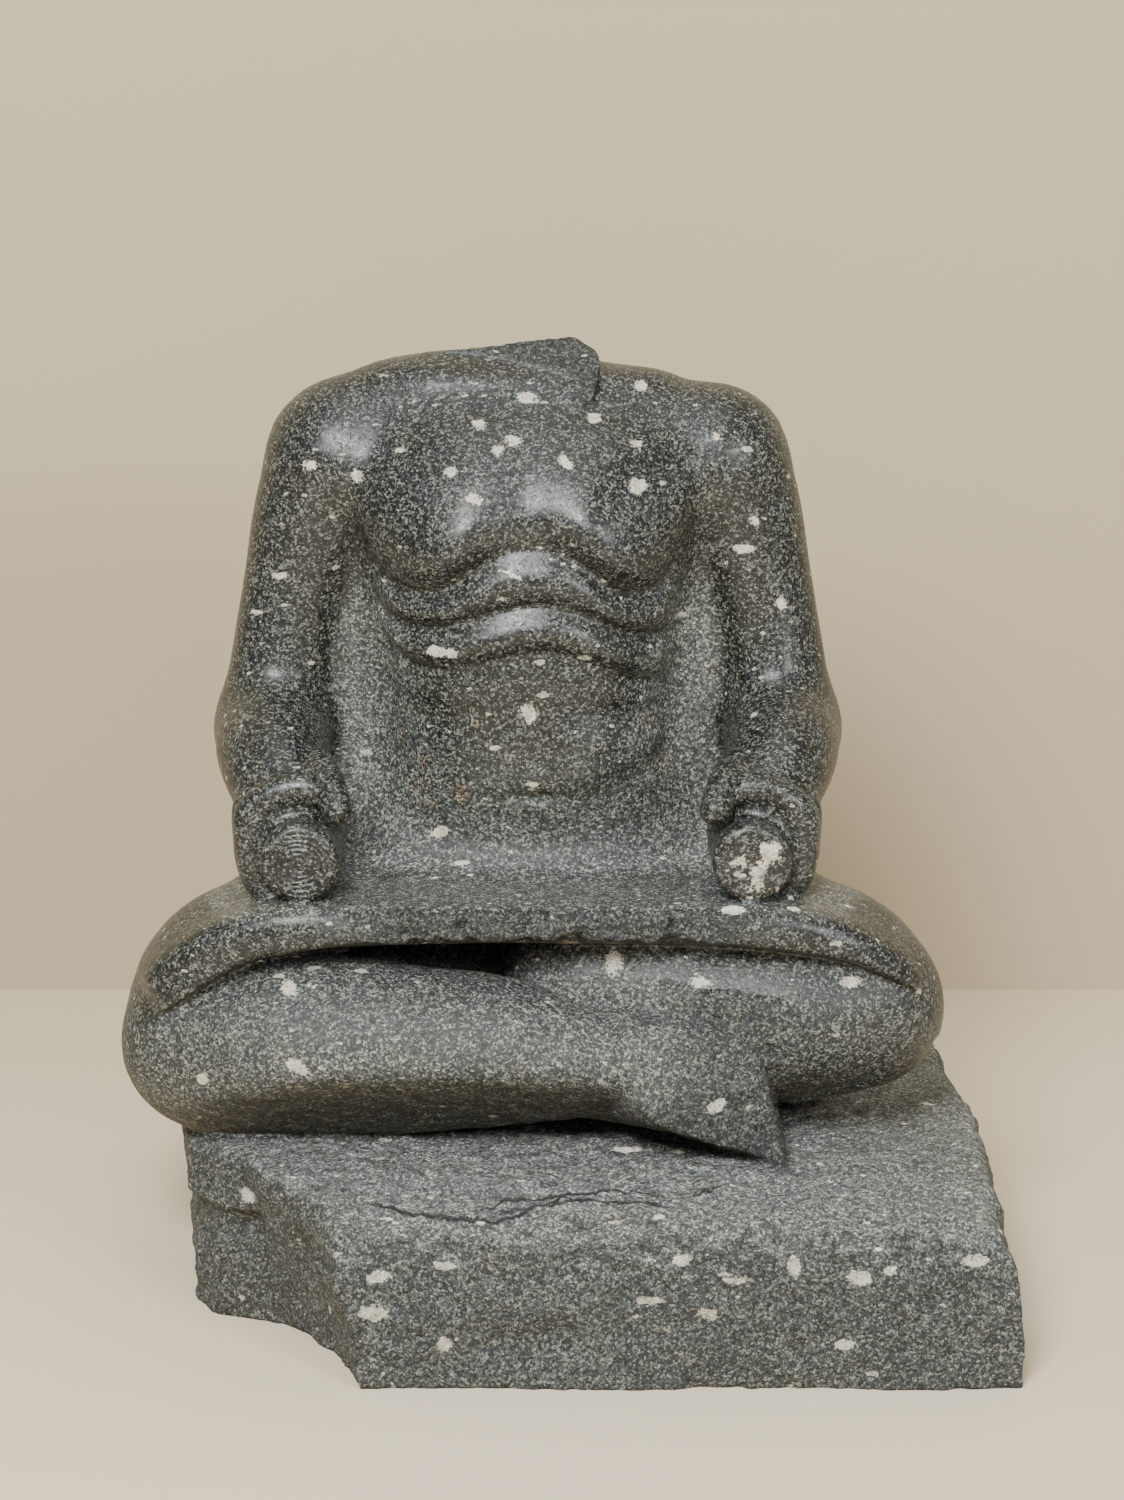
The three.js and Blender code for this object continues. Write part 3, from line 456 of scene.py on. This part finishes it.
def skin(field, low, high, cell):
    """A closed mesh of quads where the field is zero, standing flat on the ground."""
    coarse, far = 4, 1e3
    half_diagonal, steepest = 0.87, 2.2  # of a block of cells, and of the field
    count = np.ceil((np.array(high) - low) / (cell * coarse)).astype(int) * coarse
    origin = np.array(low, float)
    origin[2] = -cell * (coarse + 0.5)  # the ground lies in the middle of a layer of cells
    blocks = lattice(*(np.arange(0, n, coarse) for n in count))
    middle = in_runs(field, origin + (blocks + coarse / 2) * cell)
    values = middle.reshape(count // coarse)
    for axis in range(3):
        values = values.repeat(coarse, axis)
    values = np.pad(values, ((0, 1),) * 3, mode="edge")
    values = np.where(values < 0, -far, far).astype(np.float32)
    near = blocks[np.abs(middle) < cell * coarse * half_diagonal * steepest]
    offsets = lattice(*(np.arange(coarse + 1),) * 3)
    wanted = np.zeros(values.shape, bool)
    nodes = (near[:, None] + offsets).reshape(-1, 3)
    wanted[tuple(nodes.T)] = True
    nodes = np.argwhere(wanted)
    values[wanted] = in_runs(field, origin + nodes * cell)
    ground = coarse + 1
    values[:, :, :ground] = far
    inside = values < 0
    filled = sum(inside[i:i - 1 or None, j:j - 1 or None, k:k - 1 or None].astype(np.int8)
                 for i in (0, 1) for j in (0, 1) for k in (0, 1))
    crossed = (filled > 0) & (filled < 8)
    number = np.full(crossed.shape, -1)
    cells = np.argwhere(crossed)
    number[crossed] = np.arange(len(cells))
    quads = []
    for axis in range(3):
        u, v = [a for a in range(3) if a != axis]
        if axis == 1:
            u, v = v, u
        lower = np.take(inside, np.arange(inside.shape[axis] - 1), axis)
        upper = np.take(inside, np.arange(1, inside.shape[axis]), axis)
        edges = np.argwhere(lower != upper)
        out = lower[tuple(edges.T)]
        corners = []
        for du, dv in ((-1, -1), (0, -1), (0, 0), (-1, 0)):
            beside = edges.copy()
            beside[:, u] += du
            beside[:, v] += dv
            corners.append(number[tuple(beside.T)])
        ring = np.stack(corners, 1)
        quads.append(np.where(out[:, None], ring, ring[:, ::-1]))
    points = origin + (cells + 0.5) * cell
    bottom = cells[:, 2] == ground - 1
    start = points.copy()
    for _ in range(3):
        value, gradient = slope(field, points, 0.5)
        gradient[bottom, 2] = 0
        steep = np.maximum(np.einsum("ij,ij->i", gradient, gradient), 0.05)
        move = -(value / steep)[:, None] * gradient
        move[bottom & (value < -cell)] = 0
        points += move
        points = start + np.clip(points - start, -0.9 * cell, 0.9 * cell)
    points[bottom, 2] = 0
    return points, np.concatenate(quads)


def roughness_of(points, size, octaves, seed):
    """A rough relief between about -1 and 1, at every point."""
    shift = Vector((seed * 17.3, seed * 5.1, seed * 11.7))
    return np.array([noise.fractal(Vector(p) / size + shift, 0.9, 2.1, octaves) for p in points.tolist()])


def ridges_of(points, size, seed):
    """A relief of sharp ridges, at every point."""
    shift = Vector((seed * 7.7, seed * 13.1, seed * 3.3))
    places = (Vector(p) / size + shift for p in points.tolist())
    return np.array([noise.ridged_multi_fractal(at, 0.9, 2.1, 3, 0.9, 2.0) for at in places])


def finish_of(points):
    """How each point of the stone was left: (polish, break, plinth, front leg), each between 0 and 1."""
    q = points - (0, 0, PLINTH_HEIGHT)
    x, y, z = q.T
    side = np.abs(x - AXIS_X)
    on_plinth = step(in_runs(figure, q) - in_runs(plinth, points), -6, 8)
    on_neck = step(in_runs(blend(16, body, arms), q) - in_runs(neck, q), -3, 5) * step(z, 738, 764)
    low = (1 - step(z, 235, 250)) * (1 - step(y, -20, 20))
    kilt_d = in_runs(kilt, q)
    on_front_leg = step(kilt_d - in_runs(crossing, q), -4, 6) * low
    on_back_leg = step(kilt_d - in_runs(back_leg, q), -4, 6) * low
    edge = step(-y, 158, 170) * step(z, 205, 222) * (1 - step(z, 252, 266))
    edge = edge * (1 - step(np.abs(x - 20), 170, 260))
    underside = on_front_leg * step(undercut(q), -16, -3) * (1 - step(z, 60, 90))
    foot_end = step(x, 120, 190) * on_front_leg * step(-y, 120, 150)
    broken = np.clip(on_neck + edge * (1 - on_plinth) + 0.8 * underside + 0.6 * foot_end, 0, 1)
    outer = step(side, 90, 160)
    ceiling = 440 + 190 * outer
    off_arms = step(in_runs(arms, q), 2, 16) * step(in_runs(both(hand), q), 2, 8)
    belly = (1 - step(z, ceiling - 110, ceiling)) * step(z, 262, 280)
    belly = belly * (1 - step(side, 205, 250)) * off_arms
    matte = np.clip((0.55 + 0.25 * outer) * belly + 0.7 * on_front_leg + 0.35 * on_back_leg, 0, 0.95)
    polish = (1 - on_plinth) * (1 - broken) * (1 - matte)
    polish *= 1 - 0.75 * (step(z, -10, 5) * (1 - step(z, 20, 60)))
    return polish, broken, on_plinth, on_front_leg


CHIP_DEPTH = 16


def relief_of(points, polish, broken, on_plinth, on_front_leg):
    """How far the worn and broken stone stands out from the plain carving."""
    rough = roughness_of(points, 20, 5, 1)
    coarse = ridges_of(points, 52, 2) - 1
    x, y, z = points.T
    torn = on_plinth * step(-x - 0.35 * (y + 385), 120, 200) * step(-y, 60, 120)
    out = on_plinth * (2.6 * rough + 1.2 * coarse) + torn * 3.6 * coarse
    out += broken * (2.2 * rough) - 0.8 * broken
    chips = broken * (1 - on_plinth) * step(z, 380, 392) * (1 - step(z, 440, 446))
    bites = np.maximum(roughness_of(points, 38, 4, 5) + 0.15, 0)
    out -= chips * bites * CHIP_DEPTH * (1 - step(np.abs(x - 10), 120, 230))
    out += on_front_leg * 0.5 * rough + 0.35 * polish * roughness_of(points, 60, 3, 3)
    return np.clip(out, -14, 4)


# The largest pale feldspars on the front: (across, height, length, thickness, slant in degrees)
FELDSPARS = (
    (-5, 935, 31, 12, 10), (115, 945, 16, 10, 20), (65, 915, 17, 10, 10), (-55, 910, 19, 9, 15),
    (-20, 895, 20, 12, 5), (-35, 885, 19, 9, 15), (35, 875, 25, 9, 40), (110, 890, 17, 8, 15),
    (110, 850, 20, 17, 0), (195, 895, 15, 5, 45), (-85, 865, 16, 10, 0), (-60, 840, 26, 11, 20),
    (-185, 855, 13, 15, 0), (-235, 865, 17, 10, 0), (235, 805, 13, 10, 25), (265, 715, 16, 15, 0),
    (-20, 760, 26, 4, 20), (-85, 675, 12, 12, 0), (-5, 610, 23, 20, 0), (-100, 475, 23, 11, -20),
    (-250, 350, 19, 13, 20), (-240, 280, 27, 14, 30), (-340, 255, 14, 14, 0), (40, 390, 25, 15, 10),
    (85, 365, 19, 28, 0), (175, 350, 25, 12, 0), (330, 350, 27, 10, 5), (190, 235, 23, 12, -20),
    (210, 480, 27, 16, 30), (240, 470, 31, 15, -20), (245, 495, 25, 10, 10), (230, 450, 35, 8, 0),
    (-295, 130, 20, 14, 0), (-150, 110, 28, 10, -8), (-85, 120, 26, 7, 0), (-155, 75, 34, 15, 0),
    (-85, 45, 15, 17, 0), (150, 125, 20, 9, -10), (175, 75, 26, 12, 10), (325, 110, 27, 14, 0),
    (260, 120, 14, 18, 0), (355, 115, 15, 8, 0), (440, 125, 28, 11, 0), (310, 45, 22, 9, -10),
)


def feldspar_at(points, normals):
    """Nearness to a large feldspar: 1 at its middle, 0 at its edge, never below -1."""
    near = np.full(len(points), -1.0)
    fronts = (normals[:, 1] < -0.2) & (points[:, 1] < 100)
    for x, z, length, thickness, slant in FELDSPARS:
        close = fronts & (np.hypot(points[:, 0] - x, points[:, 2] - z) < length + 12)
        across, up = points[close, 0] - x, points[close, 2] - z
        turn = math.radians(slant)
        along = (across * math.cos(turn) - up * math.sin(turn)) / (length / 2 + 1)
        over = (across * math.sin(turn) + up * math.cos(turn)) / (thickness / 2 + 1)
        near[close] = np.maximum(near[close], 1 - np.hypot(along, over))
    return near


def stone_mesh():
    wide = max(PLINTH_RIGHT, PLINTH_LEFT, KNEES) + MARGIN
    lowest, highest = (-wide, -PLINTH_FRONT - MARGIN, 0), (wide, PLINTH_BACK + MARGIN, LATTICE_TOP)
    points, quads = skin(block, lowest, highest, CELL)
    relief = relief_of(points, *finish_of(points))
    _, gradient = slope(block, points, 2.0)
    normal = gradient / np.maximum(np.linalg.norm(gradient, axis=1), 0.1)[:, None]
    level = points[:, 2] < 0.5
    normal[level, 2] = 0
    relief[level & (in_runs(block, points) < -CELL)] = 0
    points = points + normal * relief[:, None]
    points[level, 2] = 0
    low, high = (np.array(corner) * 1000 for corner in CAD_BOX)
    points = np.clip(points, low, high)

    mesh = bpy.data.meshes.new("stone")
    mesh.from_pydata(points / 1000, [], quads.tolist())
    stone = bpy.data.objects.new("scribe_stone", mesh)
    bpy.context.collection.objects.link(stone)
    thin = stone.modifiers.new("thin", "DECIMATE")
    thin.ratio = min(1, FACES / (2 * len(quads)))
    thin.use_collapse_triangulate = True
    thinned = bpy.data.meshes.new_from_object(stone.evaluated_get(bpy.context.evaluated_depsgraph_get()))
    stone.modifiers.clear()
    stone.data = thinned
    thinned.name = "stone"
    thinned.shade_smooth()
    spots = np.empty(len(thinned.vertices) * 3)
    thinned.vertices.foreach_get("co", spots)
    spots = spots.reshape(-1, 3) * 1000
    masks = finish_of(spots)
    paint = thinned.attributes.new("finish", "FLOAT_COLOR", "POINT")
    paint.data.foreach_set("color", np.column_stack(masks).ravel())
    normals = np.empty(len(thinned.vertices) * 3)
    thinned.vertices.foreach_get("normal", normals)
    nearness = feldspar_at(spots, normals.reshape(-1, 3))
    thinned.attributes.new("feldspar", "FLOAT", "POINT").data.foreach_set("value", nearness)
    return stone


# Shader maths, written as expressions on sockets
class Reading:
    """A value that changes over the surface."""

    def __init__(self, shade, socket):
        self.shade, self.socket = shade, socket

    def math(self, operation, *others, **settings):
        values = dict(enumerate((self, *others)))
        return self.shade.node("ShaderNodeMath", {"operation": operation, **settings}, values)

    def __add__(self, other):
        return self.math("ADD", other)

    __radd__ = __add__

    def __sub__(self, other):
        return self.math("SUBTRACT", other)

    def __rsub__(self, other):
        return self.shade.node("ShaderNodeMath", {"operation": "SUBTRACT"}, {0: other, 1: self})

    def __mul__(self, other):
        return self.math("MULTIPLY", other)

    __rmul__ = __mul__

    def __truediv__(self, other):
        return self.math("DIVIDE", other)

    def __pow__(self, other):
        return self.math("POWER", other)

    def step(self, low, high):
        """0 below low, 1 above high, smooth between."""
        return self.shade.node("ShaderNodeMapRange", {"interpolation_type": "SMOOTHSTEP"},
                               {"Value": self, "From Min": low, "From Max": high})

    def clamp(self):
        return self.math("ADD", 0, use_clamp=True)

    def beside(self, output):
        """Another output of the node that this value comes from."""
        return Reading(self.shade, self.socket.node.outputs[output])


class Shade:
    """The nodes of one material."""

    def __init__(self, name):
        self.material = bpy.data.materials.new(name)
        self.material.use_nodes = True
        self.tree = self.material.node_tree
        self.surface = self.tree.nodes["Principled BSDF"]

    def node(self, kind, settings=None, values=None, output=0):
        made = self.tree.nodes.new(kind)
        for name, setting in (settings or {}).items():
            if name == "stops":
                self.lay(made.color_ramp.elements, setting)
            else:
                setattr(made, name, setting)
        self.feed(made, values or {})
        return Reading(self, made.outputs[output])

    def lay(self, elements, stops):
        """A colour ramp's own stops give way to these."""
        elements.remove(elements[1])
        for i, (place, colour) in enumerate(stops):
            stop = elements.new(place) if i else elements[0]
            stop.position, stop.color = place, (*colour, 1)

    def feed(self, node, values):
        for name, value in values.items():
            if isinstance(value, Reading):
                self.tree.links.new(value.socket, node.inputs[name])
            else:
                node.inputs[name].default_value = value

    def mix(self, factor, first, second):
        """A colour between two colours."""
        first, second = ((*c, 1) if isinstance(c, tuple) and len(c) == 3 else c for c in (first, second))
        return self.node("ShaderNodeMix", {"data_type": "RGBA"}, {0: factor, 6: first, 7: second}, output=2)

    def tint(self, factor, first, second):
        """The first colour multiplied by the second."""
        second = (*second, 1) if isinstance(second, tuple) else second
        return self.node("ShaderNodeMix", {"data_type": "RGBA", "blend_type": "MULTIPLY"},
                         {0: factor, 6: first, 7: second}, output=2)

    def vector(self, operation, first, second):
        other = "Scale" if operation == "SCALE" else 1
        return self.node("ShaderNodeVectorMath", {"operation": operation}, {0: first, other: second})

    def along(self, vector, axis):
        return self.node("ShaderNodeSeparateXYZ", None, {0: vector}, output=axis)

    def channel(self, colour, i):
        return self.node("ShaderNodeSeparateColor", None, {0: colour}, output=i)

    def attribute(self, name, output):
        return self.node("ShaderNodeAttribute", {"attribute_name": name}, output=output)


# The grain's colours, from its darkest crystals to its palest
POLISHED = (
    (0.12, (0.0026, 0.0031, 0.0030)), (0.34, (0.006, 0.0069, 0.0064)), (0.52, (0.016, 0.018, 0.016)),
    (0.68, (0.056, 0.060, 0.052)), (0.84, (0.190, 0.196, 0.166)),
)
MATTE = (
    (0.12, (0.011, 0.013, 0.0125)), (0.38, (0.031, 0.0345, 0.0325)), (0.58, (0.070, 0.075, 0.067)),
    (0.74, (0.145, 0.151, 0.130)), (0.88, (0.290, 0.295, 0.250)),
)

# The cracks along the plinth's front edge: rows (x, y) in metres
LONG_CRACK = (
    (-0.17, -0.29), (-0.11, -0.315), (-0.035, -0.325), (0.03, -0.29), (0.09, -0.295), (0.145, -0.305),
)
UPPER_CRACK = ((-0.06, -0.31), (-0.03, -0.295), (0.04, -0.28), (0.10, -0.275), (0.14, -0.285))
END_CRACK = ((0.15, -0.29), (0.17, -0.285), (0.20, -0.255))
FAR_CRACK = ((0.27, -0.10), (0.345, -0.125), (0.41, -0.185))
RING_PITCH = 0.0056


class Granodiorite(Shade):
    """The speckled stone. Its sizes and places are in metres."""

    def __init__(self):
        super().__init__("granodiorite")
        self.place = self.node("ShaderNodeTexCoord", output=3)
        self.x, self.y, self.z = (self.along(self.place, axis) for axis in range(3))
        self.facing = self.along(self.node("ShaderNodeNewGeometry", output=1), 2)
        masks = self.attribute("finish", 0)
        self.polish, self.broken, self.on_plinth = (self.channel(masks, i) for i in range(3))
        self.on_leg = self.attribute("finish", 3)
        self.carved = 1 - (self.on_plinth + self.broken).clamp()
        self.ragged = self.shifted(0.007, 0.008)
        self.frayed = (self.clouds(0.003, 2) - 0.5) * 0.16
        self.parted = self.clouds(0.03, 2, 0.5, self.shifted(0.01, 0.02))

    def clouds(self, size, detail=3, roughness=0.5, at=None):
        return self.node("ShaderNodeTexNoise", None, {
            "Vector": at or self.place, "Scale": 1 / size, "Detail": detail, "Roughness": roughness,
        })

    def shifted(self, amount, size):
        """The surface's places, moved about so that what is laid on them grows ragged."""
        cloud = {"Vector": self.place, "Scale": 1 / size, "Detail": 2}
        wander = self.node("ShaderNodeTexNoise", None, cloud, output=1)
        wander = self.vector("SCALE", self.vector("SUBTRACT", wander, (0.5, 0.5, 0.5)), amount)
        return self.vector("ADD", self.place, wander)

    def grains(self, at, size):
        """A random number for each grain of stone."""
        cells = {"Vector": at, "Scale": 1 / size}
        return self.channel(self.node("ShaderNodeTexVoronoi", None, cells, output=1), 0)

    def ground(self, coarse, fine):
        """The dark grain: near black where it is polished, grey where it is matte."""
        clots = (self.clouds(0.008, 3, 0.6) - 0.5) * 0.26 + (self.clouds(0.05) - 0.5) * 0.12
        mixed = coarse * 0.56 + fine * 0.44 + clots
        polished = self.node("ShaderNodeValToRGB", {"stops": POLISHED}, {0: mixed})
        matte = self.node("ShaderNodeValToRGB", {"stops": MATTE}, {0: mixed})
        soft = (1 - self.polish) * self.carved * (1 - self.on_leg * 0.6)
        matte = self.tint(soft, matte, (1.65, 1.65, 1.62))
        chipped = self.broken * (1 - self.on_plinth)
        return self.tint(chipped, self.mix(self.polish, matte, polished), (0.72, 0.72, 0.72))

    def feldspars(self, turn, stretch, size, most, seed):
        """Pale crystals, turned and stretched, in a share of the cells."""
        laid = self.node("ShaderNodeMapping", None, {
            "Vector": self.ragged, "Location": (seed, 0, seed * 0.7),
            "Rotation": (0, math.radians(turn), 0), "Scale": stretch,
        })
        away = self.node("ShaderNodeTexVoronoi", None, {"Vector": laid, "Scale": 1 / size})
        chance = self.channel(away.beside(1), 0)
        reach = (chance - (1 - most)).step(0, most) * 0.24 + self.frayed
        return (reach - away).step(0, 0.05) * chance.step(1 - most - 0.01, 1 - most + 0.01)

    def cream(self, fine):
        """How far feldspar covers the grain: it lies aslant on the figure and level in the plinth."""
        slanted = self.feldspars(26, (0.50, 0.9, 1.3), 0.034, 0.20, 0.0)
        level = self.feldspars(4, (0.42, 0.8, 1.5), 0.036, 0.18, 0.3)
        small = self.feldspars(20, (0.6, 1, 1.3), 0.011, 0.22, 0.8)
        small = small + self.feldspars(28, (0.5, 1, 1.4), 0.020, 0.20, 0.4)
        large = (self.attribute("feldspar", 2) + (self.clouds(0.0030, 4, 0.7) - 0.5) * 1.7).step(0.08, 0.24)
        cream = (slanted * (1 - self.on_plinth) + level * self.on_plinth + small * 0.8 + large).clamp()
        cream = cream * (0.48 + 0.52 * fine.step(0.1, 0.4))
        return cream * (0.7 + 0.3 * self.clouds(0.010, 2).step(0.35, 0.6))

    def weathered_with_painted_light(self, stone):
        """Warm stains, mostly on the belly; painted shade, browner, on what faces down; and dust with
        painted light from above on what faces up.
        """
        belly = (0.2 - self.x.math("ABSOLUTE")).step(0, 0.12)
        belly = belly * self.z.step(0.42, 0.5) * (0.66 - self.z).step(0, 0.08)
        stain = self.clouds(0.035, 4).step(0.56, 0.72) * (0.12 + 0.5 * belly)
        stone = self.tint(stain, stone, (1.9, 1.28, 0.92))
        # Painted shade: darker and browner on what faces down, low on the figure.
        painted_shade_below = (0 - self.facing).step(0.15, 0.85) * (0.8 - self.z).step(0.1, 0.4)
        stone = self.tint(painted_shade_below * 0.8, stone, (0.62, 0.52, 0.38))
        # Dust and painted light from above: lighter, in patches, on what faces up on the plinth and the
        # lap.
        on_lap = (self.z - 0.41).step(0, 0.01) * (0.46 - self.z).step(0, 0.02)
        dust_and_top_light = self.facing.step(0.50, 0.98) * (self.on_plinth + on_lap * 0.8).clamp()
        dust_and_top_light = dust_and_top_light * self.clouds(0.03, 4).step(0.05, 0.55)
        return self.mix(dust_and_top_light * 0.16, self.tint(dust_and_top_light, stone, (2.3, 2.3, 2.3)), (0.24, 0.247, 0.228))

    def rings(self):
        """The rings drawn on the ends of the papyrus rolls."""
        across = (self.x + 0.006).math("ABSOLUTE") - 0.233
        up = self.z - 0.473
        radius = (across * across + up * up * 1.15 + 0.0000001) ** 0.5
        wobble = (self.clouds(0.012, 2) - 0.5) * 0.006
        ring = ((radius + wobble) * (6.2832 / RING_PITCH)).math("SINE")
        on_roll = (-0.147 - self.y).step(0, 0.002) * (0.040 - radius).step(0, 0.004)
        return ring * on_roll * (0.2 - self.x).step(0, 0.3)

    def crack(self, rows, width, open_from=0.0):
        """A crack along rows (x, y), closed in places where it opens from more than 0."""
        first, last = rows[0][0], rows[-1][0]
        path = self.node("ShaderNodeValToRGB", {"stops": [
            ((across - first) / (last - first), (-back * 2,) * 3) for across, back in rows
        ]}, {0: (self.x - first) / (last - first)})
        line = self.node("ShaderNodeCombineXYZ", None, {0: self.x, 1: width, 2: open_from})
        wander = self.clouds(0.016, 4, 0.7, line)
        gap = (self.y + path * 0.5 + (wander - 0.5) * 0.022).math("ABSOLUTE")
        kept = self.x.step(first, first + 0.02) * (last - self.x).step(0, 0.02)
        kept = kept * self.parted.step(open_from, open_from + 0.1)
        return (width - gap).step(0, width * 0.7) * kept

    def cracks(self):
        top_face = self.facing.step(0.45, 0.7) * self.z.step(0.12, 0.14) * (0.2 - self.z).step(0, 0.02)
        flaked = tuple((x, y - 0.016) for x, y in UPPER_CRACK)
        cracks = self.crack(LONG_CRACK, 0.0042) + self.crack(UPPER_CRACK, 0.0036)
        cracks = cracks + self.crack(END_CRACK, 0.0030)
        cracks = cracks + self.crack(flaked, 0.0026, 0.42) + self.crack(FAR_CRACK, 0.0016, 0.45)
        return cracks.clamp() * top_face

    def height(self, coarse, ring, cracks):
        """The fine relief, rough where the stone isn't polished."""
        grit = self.clouds(0.0045, 4, 0.65)
        chunk = self.clouds(0.022, 5, 0.6)
        pits = (0.42 - self.clouds(0.005, 2)).step(0, 0.1)
        height = (1 - self.polish) * (grit * 0.0045 + chunk * 0.0220) * (1 - self.carved * 0.8)
        return height - pits * 0.0003 + coarse * 0.0003 + ring * 0.0005 - cracks * 0.005

    def finished(self):
        uneven = self.shifted(0.0007, 0.0040)
        coarse, fine = self.grains(uneven, 0.0025), self.grains(uneven, 0.0014)
        cream, ring, cracks = self.cream(fine), self.rings(), self.cracks()
        pale = self.mix(self.clouds(0.02), (0.56, 0.50, 0.37), (0.70, 0.67, 0.56))
        stone = self.weathered_with_painted_light(self.mix(cream, self.ground(coarse, fine), pale))
        stone = self.mix(cracks * 0.85, stone, (0.012, 0.012, 0.012))
        rough = 0.78 - 0.39 * self.polish + 0.24 * (coarse - 0.5) + 0.05 * (self.clouds(0.03) - 0.5)
        rough = rough - cream * 0.04
        relief = {"Height": self.height(coarse, ring, cracks), "Distance": 1.0, "Strength": 0.9}
        normal = self.node("ShaderNodeBump", None, relief)
        self.feed(self.surface, {"Base Color": stone, "Roughness": rough, "Normal": normal, "IOR": 1.55})
        return self.material


def plain(name, colour, roughness):
    shade = Shade(name)
    shade.feed(shade.surface, {"Base Color": (*colour, 1), "Roughness": roughness})
    return shade.material


def flat(name, corners, material):
    mesh = bpy.data.meshes.new(name)
    mesh.from_pydata(corners, [], [(0, 1, 2, 3)])
    mesh.materials.append(material)
    sheet = bpy.data.objects.new(name, mesh)
    bpy.context.collection.objects.link(sheet)


def lamp(name, place, aim, size, power, colour):
    data = bpy.data.lights.new(name, "AREA")
    data.shape, data.size, data.energy, data.color = "DISK", size, power, colour
    light = bpy.data.objects.new(name, data)
    light.location = place
    light.rotation_euler = (Vector(aim) - Vector(place)).to_track_quat("-Z", "Y").to_euler()
    bpy.context.collection.objects.link(light)


place_camera()

stone = stone_mesh()
stone.data.materials.append(Granodiorite().finished())
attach(stone, "root")
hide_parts("seated_scribe")

# A pale floor, a plain wall and soft light from the upper left
ROOM, WALL = 6, 1.0  # metres: half the floor's width, and how far back the wall stands
floor = [(-ROOM, -ROOM, 0), (ROOM, -ROOM, 0), (ROOM, WALL, 0), (-ROOM, WALL, 0)]
wall = [(-ROOM, WALL, 0), (ROOM, WALL, 0), (ROOM, WALL, ROOM), (-ROOM, WALL, ROOM)]
flat("floor", floor, plain("pale floor", (0.80, 0.68, 0.50), 0.7))
flat("wall", wall, plain("pale wall", (0.54, 0.45, 0.30), 0.9))
lamp("window", (-0.8, -3.2, 3.0), (0, 0, 0.5), 1.6, 250, (0.96, 0.99, 1))
lamp("ceiling", (0.1, -0.7, 4.3), (0, -0.2, 0.3), 3.0, 35, (1, 1, 0.97))
lamp("fill", (2.4, -3.1, 2.0), (0, 0, 0.5), 1.0, 65, (0.97, 0.99, 1))
world = bpy.data.worlds.new("room")
world.use_nodes = True
world.node_tree.nodes["Background"].inputs[0].default_value = (0.96, 0.98, 1, 1)
world.node_tree.nodes["Background"].inputs[1].default_value = 0.36
bpy.context.scene.world = world
